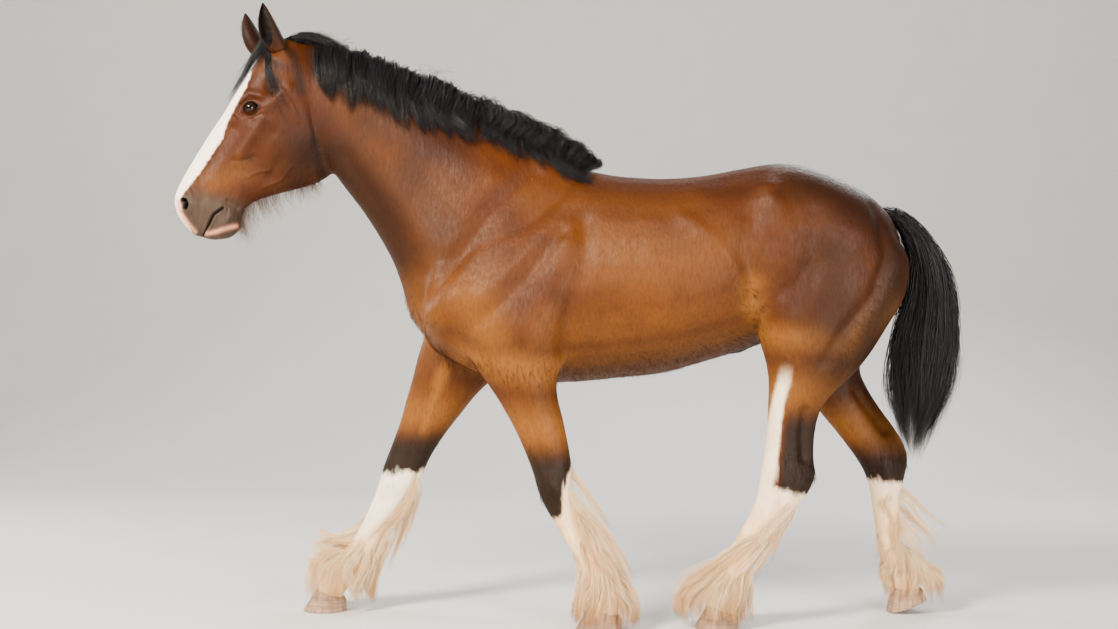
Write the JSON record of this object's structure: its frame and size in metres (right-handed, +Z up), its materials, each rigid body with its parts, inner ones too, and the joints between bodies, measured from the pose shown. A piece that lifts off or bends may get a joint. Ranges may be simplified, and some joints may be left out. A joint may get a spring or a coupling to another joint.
{
  "type": "horse model",
  "caption": "Life-size standing model of a walking heavy draught horse, bay with white feathered lower legs, black mane and tail, one solid figure.",
  "frame": {"origin": "on the floor, under the middle of the whole model's bounding box", "axes": "+X towards the tail (the horse faces -X), +Z up, +Y towards the horse's right side (its left side faces -Y)"},
  "size_m": [3.0851, 0.7213, 2.384],
  "materials": {
    "bay_coat": "short glossy bay hair",
    "black_hair": "long coarse hair",
    "white_hair": "long silky leg hair",
    "horn": "pale hoof horn",
    "eye": "wet dark brown"
  },
  "bodies": {
    "root": {"head": "bay_coat", "neck": "bay_coat", "torso": "bay_coat", "tail": "black_hair", "ear_left": "bay_coat", "ear_right": "bay_coat", "eye_left": "eye", "eye_right": "eye", "fore_left_upper": "bay_coat", "fore_left_lower": "white_hair", "fore_left_hoof": "horn", "fore_right_upper": "bay_coat", "fore_right_lower": "white_hair", "fore_right_hoof": "horn", "hind_left_upper": "bay_coat", "hind_left_lower": "white_hair", "hind_left_hoof": "horn", "hind_right_upper": "bay_coat", "hind_right_lower": "white_hair", "hind_right_hoof": "horn"}
  },
  "joints": []
}
